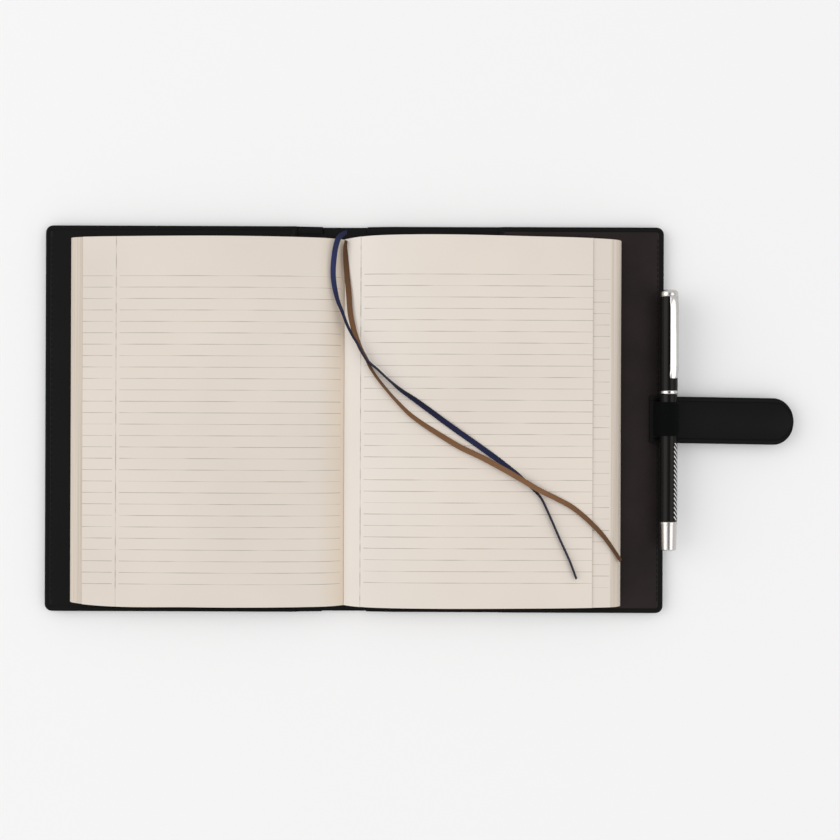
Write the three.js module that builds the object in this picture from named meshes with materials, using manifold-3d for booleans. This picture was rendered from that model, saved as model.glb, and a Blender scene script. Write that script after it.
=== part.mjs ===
// An open leather notebook cover with its notebook, two ribbon bookmarks, closing strap and capped pen.
// Millimetres, +Z up. The cover lies open on z = 0 with its spine along Y and its back half towards +X.
import * as THREE from 'three';
import * as BufferGeometryUtils from 'three/addons/utils/BufferGeometryUtils.js';
import Module from 'manifold-3d';

const wasm = await Module();
wasm.setup();

// Cover outline
const COVER_HEIGHT = 210.6;
const FRONT_EDGE_X = -204;
const BACK_EDGE_X = 133.5;
const CORNER_RADIUS = 4;
const RIM_CORNER_RADIUS = 3;
const GUTTER_X = -40.7;
const SPINE_WIDTH = 18;
const HINGE_LEFT_X = GUTTER_X - SPINE_WIDTH / 2;
const HINGE_RIGHT_X = GUTTER_X + SPINE_WIDTH / 2;
const FOLD_GAP = 0.3;

// Layers, each [bottom, top], stacked 0.1 mm apart
const LEATHER_Z = [0, 1.2];
const STIFFENER_Z = [1.3, 2.3];
const LINING_Z = [2.4, 2.9];
const BOARD_Z = [3.0, 4.1];
const POCKET_Z = [4.2, 5.1];
const SPINE_LEATHER_Z = [0, 1.8];
const SPINE_LINING_Z = [1.9, 2.4];
const SPINE_CARD_Z = [2.5, 3.3];
const RIM_WIDTH = 4;
const STIFFENER_INSET = 3;
const BACK_POCKET_X = 43.8;
const FRONT_POCKET_X = -67;

// Strap and pen loop
const STRAP_Z = [5.2, 7.6];
const STRAP_WIDTH = 25.4;
const STRAP_START_X = 125.8;
const STRAP_FOLD_X = 141.5;
const STRAP_TIP_FOLD_X = 159.3;
const STRAP_END_X = 204;
const STRAP_CENTRE_Y = 0.3;
const STRAP_SLOPE = -0.0134;
const STRAP_ROUND_LENGTH = 11;
const LOOP_Y = [-8.4, 9.8];
const LOOP_WALL = 0.7;
const LOOP_LEFT_X = 127.7;

// Notebook
const PAGE_BOTTOM_Z = 5.3;
const PAGE_Y = [-101.8, 98.8];
const BOOK_BOARD_Y = [-101.1, 100.9];

// Pen, along Y
const PEN_X = 134.6;
const PEN_Z = 13.3;
const PEN_RADIUS = 4.7;
const PEN_SEGMENTS = 24;
const CLIP_TURN = THREE.MathUtils.degToRad(16);

const COLOURS = {
  leather: 0x1a1a19,
  panel: 0x2d2727,
  lining: 0x0d0d0b,
  board: 0x55504a,
  bookCover: 0x1c1b1a,
  paper: 0xe4dace,
  navy: 0x20243f,
  brown: 0x5f4128,
  gunmetal: 0x2a2827,
  chrome: 0xc8c6c4,
  plastic: 0x151515,
};

const model = new THREE.Group();

function add(name, geometry, colour, roughness = 0.6, metalness = 0, parent = model) {
  const material = new THREE.MeshStandardMaterial({ color: colour, roughness, metalness });
  const mesh = new THREE.Mesh(geometry, material);
  mesh.name = name;
  parent.add(mesh);
  return mesh;
}

// Turns a geometry's faces outward if its signed volume is negative.
function outward(geometry) {
  const bare = geometry.clone();
  for (const name of Object.keys(bare.attributes)) {
    if (name !== 'position') bare.deleteAttribute(name);
  }
  const merged = BufferGeometryUtils.mergeVertices(bare, 1e-4);
  const p = merged.attributes.position;
  const index = Array.from(merged.index.array);
  const kept = [];
  let volume = 0;
  const [a, b, c] = [new THREE.Vector3(), new THREE.Vector3(), new THREE.Vector3()];
  for (let i = 0; i < index.length; i += 3) {
    const [i0, i1, i2] = index.slice(i, i + 3);
    if (i0 === i1 || i1 === i2 || i2 === i0) continue;
    kept.push(i0, i1, i2);
    a.fromBufferAttribute(p, i0);
    b.fromBufferAttribute(p, i1);
    c.fromBufferAttribute(p, i2);
    volume += a.dot(b.cross(c));
  }
  if (volume < 0) kept.reverse();
  merged.setIndex(kept);
  return merged;
}

// A flat plate from an outline in XY.
function plate(shape, [low, high]) {
  const geometry = new THREE.ExtrudeGeometry(shape, {
    depth: high - low,
    bevelEnabled: false,
    curveSegments: 6,
  });
  geometry.translate(0, 0, low);
  return outward(geometry);
}

// An outline in XZ carried along Y.
function profile(points, [low, high], holes = []) {
  const shape = new THREE.Shape(points.map(([x, z]) => new THREE.Vector2(x, z)));
  for (const hole of holes) {
    shape.holes.push(new THREE.Path(hole.map(([x, z]) => new THREE.Vector2(x, z))));
  }
  const geometry = new THREE.ExtrudeGeometry(shape, { depth: high - low, bevelEnabled: false });
  geometry.rotateX(Math.PI / 2);
  geometry.translate(0, high, 0);
  return outward(geometry);
}

// A rectangle whose corners on the outer side (towards outerX) are rounded.
function panelShape(innerX, outerX, halfHeight, radius) {
  const side = Math.sign(outerX - innerX);
  const shape = new THREE.Shape();
  shape.moveTo(innerX, -halfHeight);
  shape.lineTo(outerX - side * radius, -halfHeight);
  shape.quadraticCurveTo(outerX, -halfHeight, outerX, -halfHeight + radius);
  shape.lineTo(outerX, halfHeight - radius);
  shape.quadraticCurveTo(outerX, halfHeight, outerX - side * radius, halfHeight);
  shape.lineTo(innerX, halfHeight);
  shape.closePath();
  return shape;
}

function rectangle(x0, x1, y0, y1) {
  const shape = new THREE.Shape();
  shape.moveTo(x0, y0);
  shape.lineTo(x1, y0);
  shape.lineTo(x1, y1);
  shape.lineTo(x0, y1);
  shape.closePath();
  return shape;
}

function solid(geometry) {
  const { position } = geometry.attributes;
  const mesh = new wasm.Mesh({
    numProp: 3,
    vertProperties: new Float32Array(position.array),
    triVerts: new Uint32Array(geometry.index.array),
  });
  return new wasm.Manifold(mesh);
}

function fromSolid(body) {
  const mesh = body.getMesh();
  const geometry = new THREE.BufferGeometry();
  geometry.setAttribute('position', new THREE.BufferAttribute(mesh.vertProperties, 3));
  geometry.setIndex(Array.from(mesh.triVerts));
  return geometry;
}

// One half of the cover: outer leather, stiffener, lining, three rim strips and the pocket panel.
function coverHalf(name, hingeX, edgeX, pocketX) {
  const side = Math.sign(edgeX - hingeX);
  const innerX = hingeX + side * FOLD_GAP;
  const half = COVER_HEIGHT / 2;
  const rimX = edgeX - side * RIM_WIDTH;
  const insetX = edgeX - side * STIFFENER_INSET;
  const outline = panelShape(innerX, edgeX, half, CORNER_RADIUS);
  add(`${name}_leather`, plate(outline, LEATHER_Z), COLOURS.leather);
  const inset = panelShape(innerX + side * 1.2, insetX, half - STIFFENER_INSET, 1);
  add(`${name}_stiffener`, plate(inset, STIFFENER_Z), COLOURS.board, 0.9);
  const lining = panelShape(innerX, edgeX - side * 0.4, half - 0.4, CORNER_RADIUS);
  add(`${name}_lining`, plate(lining, LINING_Z), COLOURS.lining, 0.9);
  const rimInner = hingeX + side * 4;
  for (const [end, sign] of [['head', 1], ['tail', -1]]) {
    const y = [sign * (half - 0.4), sign * (half - RIM_WIDTH)];
    const strip = rectangle(rimInner, rimX, Math.min(...y), Math.max(...y));
    add(`${name}_rim_${end}`, plate(strip, BOARD_Z), COLOURS.leather);
  }
  const fore = panelShape(rimX + side * 0.2, edgeX - side * 0.4, half - 0.4, RIM_CORNER_RADIUS);
  add(`${name}_rim_fore`, plate(fore, BOARD_Z), COLOURS.leather);
  const pocket = panelShape(pocketX, edgeX, half, CORNER_RADIUS);
  add(`${name}_pocket`, plate(pocket, POCKET_Z), COLOURS.panel);
}

coverHalf('back', HINGE_RIGHT_X, BACK_EDGE_X, BACK_POCKET_X);
coverHalf('front', HINGE_LEFT_X, FRONT_EDGE_X, FRONT_POCKET_X);

const SPINE_X = [HINGE_LEFT_X + FOLD_GAP, HINGE_RIGHT_X - FOLD_GAP];
const SPINE_HALF = COVER_HEIGHT / 2 - 0.6;
const spineShape = rectangle(...SPINE_X, -SPINE_HALF, SPINE_HALF);
add('spine_leather', plate(spineShape, SPINE_LEATHER_Z), COLOURS.leather);
add('spine_lining', plate(spineShape, SPINE_LINING_Z), COLOURS.lining, 0.9);

// The notebook's own case: two boards in the pockets and a card along the spine.
const BOARD_CLEAR = RIM_WIDTH + 0.4;
const backBoard = rectangle(HINGE_RIGHT_X + 1.5, BACK_EDGE_X - BOARD_CLEAR, ...BOOK_BOARD_Y);
add('book_board_back', plate(backBoard, BOARD_Z), COLOURS.bookCover);
const frontBoard = rectangle(FRONT_EDGE_X + BOARD_CLEAR, HINGE_LEFT_X - 1.5, ...BOOK_BOARD_Y);
add('book_board_front', plate(frontBoard, BOARD_Z), COLOURS.bookCover);
const spineCard = rectangle(SPINE_X[0] + 1, SPINE_X[1] - 1, ...BOOK_BOARD_Y);
add('book_spine_card', plate(spineCard, SPINE_CARD_Z), COLOURS.bookCover);

// Page groups. Each height list gives [distance from the gutter, z] along one sheet surface.
const FOLD_REACH = 9.1;
const BLOCK_START = 9.4;
const SHEET_GAP = 0.15;
const RIGHT_BASE = [[BLOCK_START, 9.8], [16, 11.6], [25, 12.2], [144.5, 12.2], [150.9, PAGE_BOTTOM_Z + 0.2]];
const RIGHT_TOP = [[BLOCK_START, 11.3], [14, 12.3], [25, 13.2], [45, 13.8], [70, 13.7], [100, 13.2],
  [134.6, 12.5]];
const RIGHT_LEAF = [[BLOCK_START, 11.7], [14, 12.7], [25, 13.6], [45, 14.2], [70, 14.1], [100, 13.6],
  [134.4, 12.9]];
const RIGHT_FOLD = [[0.3, 6.6], [2.5, 8.5], [5.5, 10.2], [FOLD_REACH, 11.5]];
const LEFT_BASE = [[BLOCK_START, 9.4], [16, 10.4], [143.5, 10.4], [149.1, 5.5]];
const LEFT_TOP = [[BLOCK_START, 10.9], [20, 12.4], [34, 13.4], [60, 14], [100, 13.2], [141.2, 11.2]];
const LEFT_FOLD = [[0.3, 6.2], [2.5, 7.8], [5.5, 9.5], [FOLD_REACH, 10.7]];

function place(side, heights, lift = 0) {
  return heights.map(([u, z]) => [GUTTER_X + side * u, z + lift]);
}

// Where a surface drawn as straight stretches stands at a distance from the gutter.
function heightAt(heights, u) {
  const next = Math.max(1, heights.findIndex(([reach]) => reach >= u - 1e-6));
  const [[u0, z0], [u1, z1]] = [heights[next - 1], heights[next]];
  return z0 + ((z1 - z0) * (u - u0)) / (u1 - u0);
}

function pageGroup(name, side, upper, under) {
  const end = upper[upper.length - 1][0];
  const bottom = under
    ? [...under.filter(([u]) => u < end - 0.5), [end, heightAt(under, end)]]
    : [[upper[0][0], PAGE_BOTTOM_Z], [end, PAGE_BOTTOM_Z]];
  const outline = [...place(side, bottom, under ? SHEET_GAP : 0), ...place(side, upper).reverse()];
  add(name, profile(outline, PAGE_Y), COLOURS.paper, 0.95);
}

pageGroup('pages_right_base', 1, RIGHT_BASE);
pageGroup('pages_right_top', 1, RIGHT_TOP, RIGHT_BASE);
pageGroup('leaf', 1, RIGHT_LEAF, RIGHT_TOP);
pageGroup('pages_left_base', -1, LEFT_BASE);
pageGroup('pages_left_top', -1, LEFT_TOP, LEFT_BASE);
const FOLD_BOTTOM_Z = 3.7;
for (const [name, side, heights] of [['right', 1, RIGHT_FOLD], ['left', -1, LEFT_FOLD]]) {
  const foot = [[heights[0][0], FOLD_BOTTOM_Z], [FOLD_REACH - 0.6, FOLD_BOTTOM_Z], [FOLD_REACH, PAGE_BOTTOM_Z]];
  const outline = [...place(side, foot), ...place(side, heights).reverse()];
  add(`pages_${name}_folds`, profile(outline, PAGE_Y), COLOURS.paper, 0.95);
}

// Flat ribbon bookmarks, from the head of the gutter across the right page.
const RIBBON_HALF_WIDTH = 1.5;
const RIBBON_HALF_THICKNESS = 0.4;
const NAVY_ROUTE = [
  [-39.4, 101.4, 10.4], [-43.3, 98.1, 12.4], [-45.2, 92.7, 13], [-46.3, 84.4, 12.4], [-46.5, 77.8, 12.2],
  [-45.7, 71.2, 12.3], [-43.9, 63.8, 12.6], [-41.4, 57.7, 12.8], [-38.9, 51.1, 13.8], [-36, 45.4, 14.6],
  [-32.7, 40, 15.2], [-28, 32, 15.5], [-22.2, 26.8, 15.5], [-16.5, 21.5, 15.5], [-9.8, 15.8, 15.4],
  [-2.2, 10.6, 15.4], [6.9, 4, 15.2], [14.1, -1.3, 15.2], [22.1, -7, 15.2], [31.7, -13.7, 15],
  [46.5, -24.2, 14.9], [54.4, -30.1, 14.7], [61.4, -37.1, 14.6], [66.3, -42.6, 14.5], [71.3, -53.1, 14.4],
  [76.3, -64.4, 14.2], [81.4, -75.5, 14.1], [85.2, -85.5, 14.1],
];
const BROWN_ROUTE = [
  [-39.7, 96.9, 9.6], [-40.2, 92, 9.4], [-39.4, 80.4, 9.8], [-38.1, 67.7, 10.9], [-37.2, 57.3, 11.8],
  [-35.4, 48.9, 12.7], [-34.2, 45.1, 13.3], [-31.5, 38.2, 13.9], [-28, 32, 14.3], [-26.1, 27.7, 14.3],
  [-22.3, 22, 14.6], [-16.5, 14.9, 14.7], [-10.8, 8.6, 14.9], [-5, 2.9, 15.1], [2.1, -2.4, 15.2],
  [11.7, -8.5, 15.3], [22.1, -14.7, 15.5], [34.1, -20.4, 15.8], [48.9, -28.4, 16.4], [63.6, -37, 16.3],
  [76.2, -43.3, 14.9], [83.7, -47.6, 14.3], [92.6, -55.1, 14.1], [100.4, -63.4, 13.6], [109.4, -75.9, 12],
];

function ribbon(name, route, steps, colour) {
  const curve = new THREE.CatmullRomCurve3(route.map((point) => new THREE.Vector3(...point)));
  const section = new THREE.Shape();
  const sides = 8;
  for (let i = 0; i < sides; i += 1) {
    const turn = ((i + 0.5) / sides) * 2 * Math.PI;
    const x = RIBBON_HALF_THICKNESS * Math.cos(turn);
    const y = RIBBON_HALF_WIDTH * Math.sin(turn);
    if (i === 0) section.moveTo(x, y);
    else section.lineTo(x, y);
  }
  section.closePath();
  const geometry = new THREE.ExtrudeGeometry(section, { steps, extrudePath: curve, bevelEnabled: false });
  add(name, outward(geometry), colour, 0.5);
}

ribbon('ribbon_navy', NAVY_ROUTE, 50, COLOURS.navy);
ribbon('ribbon_brown', BROWN_ROUTE, 46, COLOURS.brown);

// Strap: a sewn anchor under the pen, a riser, and the rounded tip.
function strapY(x) {
  return STRAP_CENTRE_Y + STRAP_SLOPE * (x - STRAP_FOLD_X);
}

function strapPiece(name, x0, x1) {
  const half = STRAP_WIDTH / 2;
  const shape = new THREE.Shape();
  shape.moveTo(x0, strapY(x0) - half);
  shape.lineTo(x1, strapY(x1) - half);
  shape.lineTo(x1, strapY(x1) + half);
  shape.lineTo(x0, strapY(x0) + half);
  shape.closePath();
  add(name, plate(shape, STRAP_Z), COLOURS.leather);
}

strapPiece('strap_anchor', STRAP_START_X, STRAP_FOLD_X - 0.1);
strapPiece('strap_riser', STRAP_FOLD_X + 0.1, STRAP_TIP_FOLD_X - 0.1);

const tip = new THREE.Shape();
const TIP_START_X = STRAP_TIP_FOLD_X + 0.1;
const TIP_STRAIGHT_X = STRAP_END_X - STRAP_ROUND_LENGTH;
tip.moveTo(TIP_START_X, strapY(TIP_START_X) - STRAP_WIDTH / 2);
tip.lineTo(TIP_STRAIGHT_X, strapY(TIP_STRAIGHT_X) - STRAP_WIDTH / 2);
const ROUND_STEPS = 12;
for (let i = 1; i < ROUND_STEPS; i += 1) {
  const turn = -Math.PI / 2 + (i / ROUND_STEPS) * Math.PI;
  const x = TIP_STRAIGHT_X + STRAP_ROUND_LENGTH * Math.cos(turn);
  tip.lineTo(x, strapY(x) + (STRAP_WIDTH / 2) * Math.sin(turn));
}
tip.lineTo(TIP_STRAIGHT_X, strapY(TIP_STRAIGHT_X) + STRAP_WIDTH / 2);
tip.lineTo(TIP_START_X, strapY(TIP_START_X) + STRAP_WIDTH / 2);
tip.closePath();
add('strap_tip', plate(tip, STRAP_Z), COLOURS.leather);

// Pen loop: a band round the pen that slopes down to the strap on its inner side.
function loopOutline(radius, floorZ, footX) {
  const points = [[footX, floorZ], [PEN_X + radius, floorZ]];
  const reach = Math.hypot(footX - PEN_X, floorZ - PEN_Z);
  const away = Math.atan2(floorZ - PEN_Z, footX - PEN_X) + 2 * Math.PI;
  const last = away - Math.acos(radius / reach);
  const steps = 12;
  for (let i = 0; i <= steps; i += 1) {
    const turn = (i / steps) * last;
    points.push([PEN_X + radius * Math.cos(turn), PEN_Z + radius * Math.sin(turn)]);
  }
  return points;
}

const LOOP_INNER_RADIUS = PEN_RADIUS + 0.25;
const LOOP_FLOOR_Z = STRAP_Z[1] + 0.1;
const loopOuter = loopOutline(LOOP_INNER_RADIUS + LOOP_WALL, LOOP_FLOOR_Z, LOOP_LEFT_X);
const loopInner = loopOutline(LOOP_INNER_RADIUS, LOOP_FLOOR_Z + LOOP_WALL, LOOP_LEFT_X + 1.3);
add('pen_loop', profile(loopOuter, LOOP_Y, [loopInner]), COLOURS.plastic, 0.9);

// Pen pieces are turned about Y, so a lathe profile is [radius, y].
const pen = new THREE.Group();
pen.position.set(PEN_X, 0, PEN_Z);
model.add(pen);

function turned(points) {
  const outline = points.map(([r, y]) => new THREE.Vector2(r, y));
  return outward(new THREE.LatheGeometry(outline, PEN_SEGMENTS));
}

const BARREL_Y = [-54.3, 14];
const FERRULE_END_Y = -69.9;
const GRIP_END_Y = 50;
const NIB_END_Y = 58;
const RING_Y = [14.2, 15.9];
const CAP_Y = [16, 66.4];
const CROWN_END_Y = 70.3;
const CAP_RADIUS = 4.8;
const CAP_BORE_RADIUS = 4.1;
const HATCH_Y = [-53.6, -12.2];
const HATCH_TURN = [30, 56].map(THREE.MathUtils.degToRad);
const HATCH_DEPTH = 0.4;

// A curved strip of the barrel's side, between two radii and two angles from +Z towards +X.
function barrelStrip(inner, outer, [from, to], y) {
  const steps = 4;
  const points = [];
  for (let i = 0; i <= steps; i += 1) {
    const turn = from + ((to - from) * i) / steps;
    points.push([outer * Math.sin(turn), outer * Math.cos(turn)]);
  }
  for (let i = steps; i >= 0; i -= 1) {
    const turn = from + ((to - from) * i) / steps;
    points.push([inner * Math.sin(turn), inner * Math.cos(turn)]);
  }
  return profile(points, y);
}

const HATCH_CLEAR = 0.05;
const barrelBlank = solid(turned([[0, BARREL_Y[0]], [PEN_RADIUS, BARREL_Y[0]], [PEN_RADIUS, BARREL_Y[1]],
  [0, BARREL_Y[1]]]));
const groove = solid(barrelStrip(PEN_RADIUS - HATCH_DEPTH - 0.1, PEN_RADIUS + 1,
  [HATCH_TURN[0] - HATCH_CLEAR, HATCH_TURN[1] + HATCH_CLEAR], [HATCH_Y[0] - 0.3, HATCH_Y[1] + 0.3]));
add('pen_barrel', fromSolid(barrelBlank.subtract(groove)), COLOURS.gunmetal, 0.3, 0.8, pen);
const hatch = barrelStrip(PEN_RADIUS - HATCH_DEPTH, PEN_RADIUS - 0.05, HATCH_TURN, HATCH_Y);
add('pen_hatch_strip', hatch, COLOURS.chrome, 0.3, 1, pen);
add('pen_ferrule', turned([[0, FERRULE_END_Y], [4.1, FERRULE_END_Y], [4.4, FERRULE_END_Y + 0.5],
  [4.7, BARREL_Y[0] - 0.2], [0, BARREL_Y[0] - 0.2]]), COLOURS.chrome, 0.15, 1, pen);
add('pen_grip', turned([[0, BARREL_Y[1] + 0.1], [3.8, BARREL_Y[1] + 0.1], [3.5, GRIP_END_Y - 6],
  [2.9, GRIP_END_Y], [0, GRIP_END_Y]]), COLOURS.plastic, 0.4, 0, pen);
add('pen_writing_tip', turned([[0, GRIP_END_Y + 0.1], [2.4, GRIP_END_Y + 0.1], [0.9, NIB_END_Y - 2.5],
  [0.4, NIB_END_Y], [0, NIB_END_Y]]), COLOURS.chrome, 0.2, 1, pen);
add('cap_ring', turned([[CAP_BORE_RADIUS, RING_Y[0]], [5, RING_Y[0]], [5, RING_Y[1]],
  [CAP_BORE_RADIUS, RING_Y[1]], [CAP_BORE_RADIUS, RING_Y[0]]]), COLOURS.chrome, 0.15, 1, pen);
add('cap_tube', turned([[CAP_BORE_RADIUS, CAP_Y[0]], [CAP_RADIUS, CAP_Y[0]], [CAP_RADIUS, CAP_Y[1]],
  [0, CAP_Y[1]], [0, CAP_Y[1] - 2], [CAP_BORE_RADIUS, CAP_Y[1] - 2]].concat([[CAP_BORE_RADIUS, CAP_Y[0]]])),
COLOURS.gunmetal, 0.3, 0.8, pen);
add('cap_crown', turned([[0, CAP_Y[1] + 0.1], [4.7, CAP_Y[1] + 0.1], [4.7, CROWN_END_Y - 0.8],
  [4.2, CROWN_END_Y], [0, CROWN_END_Y]]), COLOURS.chrome, 0.15, 1, pen);

// Clip: a sprung bar with a foot at the crown end and a toe that rests near the cap.
const CLIP_HALF_WIDTH = 2.2;
const CLIP_Y = [22.3, 66.4];
const CLIP_RADII = { foot: CAP_RADIUS + 0.3, inner: 6.1, outer: 6.9 };
const clipOutline = new THREE.Shape();
clipOutline.moveTo(CLIP_RADII.foot, CLIP_Y[1]);
clipOutline.lineTo(CLIP_RADII.outer, CLIP_Y[1]);
clipOutline.lineTo(CLIP_RADII.outer, CLIP_Y[0] + 0.8);
clipOutline.lineTo(CLIP_RADII.inner, CLIP_Y[0]);
clipOutline.lineTo(CLIP_RADII.foot + 0.1, CLIP_Y[0] + 2);
clipOutline.lineTo(CLIP_RADII.inner, CLIP_Y[0] + 5);
clipOutline.lineTo(CLIP_RADII.inner, CLIP_Y[1] - 4);
clipOutline.lineTo(CLIP_RADII.foot, CLIP_Y[1] - 3.4);
clipOutline.closePath();
const clip = new THREE.ExtrudeGeometry(clipOutline, { depth: 2 * CLIP_HALF_WIDTH, bevelEnabled: false });
clip.translate(0, 0, -CLIP_HALF_WIDTH);
clip.rotateY(-Math.PI / 2 + CLIP_TURN);
add('pen_clip', outward(clip), COLOURS.chrome, 0.15, 1, pen);

export default model;
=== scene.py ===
from math import acos, atan2, cos, hypot, pi, radians, sin

import bpy
import numpy as np
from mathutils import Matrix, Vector


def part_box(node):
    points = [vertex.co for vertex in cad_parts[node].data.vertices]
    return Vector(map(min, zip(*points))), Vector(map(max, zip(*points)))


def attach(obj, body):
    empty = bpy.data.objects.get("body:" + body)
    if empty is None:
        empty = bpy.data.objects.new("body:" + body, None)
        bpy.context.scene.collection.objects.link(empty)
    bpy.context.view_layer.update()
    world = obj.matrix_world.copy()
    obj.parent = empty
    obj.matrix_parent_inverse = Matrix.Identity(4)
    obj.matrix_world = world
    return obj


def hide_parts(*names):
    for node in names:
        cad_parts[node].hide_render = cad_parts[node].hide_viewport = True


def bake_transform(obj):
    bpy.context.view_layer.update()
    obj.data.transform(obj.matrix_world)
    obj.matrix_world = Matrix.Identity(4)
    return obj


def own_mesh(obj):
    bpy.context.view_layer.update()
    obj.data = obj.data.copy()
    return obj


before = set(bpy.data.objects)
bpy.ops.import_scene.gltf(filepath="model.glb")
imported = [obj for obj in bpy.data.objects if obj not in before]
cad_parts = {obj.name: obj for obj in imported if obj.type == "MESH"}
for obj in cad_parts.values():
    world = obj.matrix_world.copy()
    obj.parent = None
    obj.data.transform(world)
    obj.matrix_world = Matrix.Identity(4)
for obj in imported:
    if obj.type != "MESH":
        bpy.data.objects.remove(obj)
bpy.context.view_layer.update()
MM = 0.001

# ---------------------------------------------------------------- places, in millimetres, from the frame


def span(node, axis):
    """Lowest and highest coordinate of a CAD node along an axis, in millimetres."""
    low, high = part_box(node)
    return low[axis] / MM, high[axis] / MM


BACK_X = span("back_leather", 0)
FRONT_X = span("front_leather", 0)
COVER_Y = span("back_leather", 1)
SPINE_X = span("spine_leather", 0)
GUTTER_X = sum(SPINE_X) / 2
PAGE_BOTTOM_Z = span("pages_right_base", 2)[0]
POCKET_Z = span("back_pocket", 2)
BACK_POCKET_X = span("back_pocket", 0)[0]
FRONT_POCKET_X = span("front_pocket", 0)[1]
STRAP_Z = span("strap_tip", 2)
STRAP_FOLD_X = (span("strap_anchor", 0)[1] + span("strap_riser", 0)[0]) / 2
TIP_FOLD_X = (span("strap_riser", 0)[1] + span("strap_tip", 0)[0]) / 2
STRAP_END_X = span("strap_tip", 0)[1]
PEN_X = sum(span("pen_barrel", 0)) / 2
PEN_Z = sum(span("pen_barrel", 2)) / 2
PEN_RADIUS = (span("pen_barrel", 0)[1] - span("pen_barrel", 0)[0]) / 2
HINGE_BACK_X = (SPINE_X[1] + BACK_X[0]) / 2
HINGE_FRONT_X = (SPINE_X[0] + FRONT_X[1]) / 2

# ---------------------------------------------------------------- camera and light


CAMERA_PLACE = (0.65, -0.29, 642)
CAMERA_TURN = 0.00375
LENS = 50
SENSOR_WIDTH = 36
WORLD_STRENGTH = 0.78


def look_down():
    """A camera straight above the cover, turned a little as the cover lies."""
    data = bpy.data.cameras.new("camera")
    data.lens = LENS
    data.sensor_width = SENSOR_WIDTH
    camera = bpy.data.objects.new("camera", data)
    camera.location = [value * MM for value in CAMERA_PLACE]
    camera.rotation_euler = (0, 0, CAMERA_TURN)
    bpy.context.scene.collection.objects.link(camera)
    bpy.context.scene.camera = camera


def area_light(name, place, size, power):
    data = bpy.data.lights.new(name, "AREA")
    data.shape = "DISK"
    data.size = size
    data.energy = power
    light = bpy.data.objects.new(name, data)
    light.location = place
    light.rotation_euler = (-Vector(place)).to_track_quat("-Z", "Y").to_euler()
    bpy.context.scene.collection.objects.link(light)


def studio():
    """An even pale surround with a dark patch straight above, and a soft light on either side."""
    world = bpy.data.worlds.new("studio")
    world.use_nodes = True
    tree = world.node_tree
    background = tree.nodes["Background"]
    background.inputs["Strength"].default_value = WORLD_STRENGTH
    direction = tree.nodes.new("ShaderNodeTexCoord")
    parts = tree.nodes.new("ShaderNodeSeparateXYZ")
    ceiling = tree.nodes.new("ShaderNodeValToRGB")
    ceiling.color_ramp.elements[0].position = 0.93
    ceiling.color_ramp.elements[0].color = (1, 1, 1, 1)
    ceiling.color_ramp.elements[1].position = 0.99
    ceiling.color_ramp.elements[1].color = (0.12, 0.12, 0.12, 1)
    tree.links.new(direction.outputs["Generated"], parts.inputs[0])
    tree.links.new(parts.outputs["Z"], ceiling.inputs["Fac"])
    tree.links.new(ceiling.outputs["Color"], background.inputs["Color"])
    bpy.context.scene.world = world
    area_light("left_softbox", (-2.3, 0.4, 1.9), 2.8, 27)
    area_light("right_softbox", (1.6, -0.2, 2.5), 2.2, 14)
    bpy.context.scene.view_settings.view_transform = "Standard"


look_down()
studio()

# ---------------------------------------------------------------- materials


class Nodes:
    """A material's node tree with short calls for its nodes."""

    def __init__(self, name):
        self.material = bpy.data.materials.new(name)
        self.material.use_nodes = True
        self.tree = self.material.node_tree
        self.shader = self.tree.nodes["Principled BSDF"]

    def new(self, kind, **values):
        node = self.tree.nodes.new(kind)
        for key, value in values.items():
            setattr(node, key, value)
        return node

    def link(self, a, b):
        self.tree.links.new(a, b)

    def put(self, socket, value):
        if isinstance(value, bpy.types.NodeSocket):
            self.link(value, socket)
        else:
            socket.default_value = value

    def maths(self, operation, a, b=0.0, c=0.0):
        node = self.new("ShaderNodeMath", operation=operation)
        for socket, value in zip(node.inputs, (a, b, c)):
            self.put(socket, value)
        return node.outputs[0]

    def coordinates(self, kind="Object"):
        return self.new("ShaderNodeTexCoord").outputs[kind]

    def scaled(self, vector, scale):
        node = self.new("ShaderNodeMapping")
        self.link(vector, node.inputs["Vector"])
        node.inputs["Scale"].default_value = scale
        return node.outputs["Vector"]

    def noise(self, vector, scale, detail=3.0):
        node = self.new("ShaderNodeTexNoise")
        self.link(vector, node.inputs["Vector"])
        node.inputs["Scale"].default_value = scale
        node.inputs["Detail"].default_value = detail
        return node.outputs["Fac"]

    def cells(self, vector, scale):
        node = self.new("ShaderNodeTexVoronoi")
        self.link(vector, node.inputs["Vector"])
        node.inputs["Scale"].default_value = scale
        return node.outputs["Distance"]

    def ramp(self, fac, *stops):
        """Colours at positions: each stop is (position, colour)."""
        node = self.new("ShaderNodeValToRGB")
        self.link(fac, node.inputs["Fac"])
        elements = node.color_ramp.elements
        while len(elements) < len(stops):
            elements.new(1)
        for element, (position, colour) in zip(elements, stops):
            element.position = position
            element.color = (*colour, 1)
        return node.outputs["Color"]

    def mix(self, fac, a, b):
        node = self.new("ShaderNodeMix", data_type="RGBA")
        self.put(node.inputs["Factor"], fac)
        for socket, value in ((node.inputs["A"], a), (node.inputs["B"], b)):
            self.put(socket, (*value, 1) if isinstance(value, tuple) else value)
        return node.outputs["Result"]

    def bump(self, height, strength, distance):
        node = self.new("ShaderNodeBump")
        self.link(height, node.inputs["Height"])
        node.inputs["Strength"].default_value = strength
        node.inputs["Distance"].default_value = distance
        self.link(node.outputs["Normal"], self.shader.inputs["Normal"])

    def set(self, **values):
        for key, value in values.items():
            self.put(self.shader.inputs[key.replace("_", " ")], value)


def lighter(colour, factor):
    return tuple(c * factor for c in colour)


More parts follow.
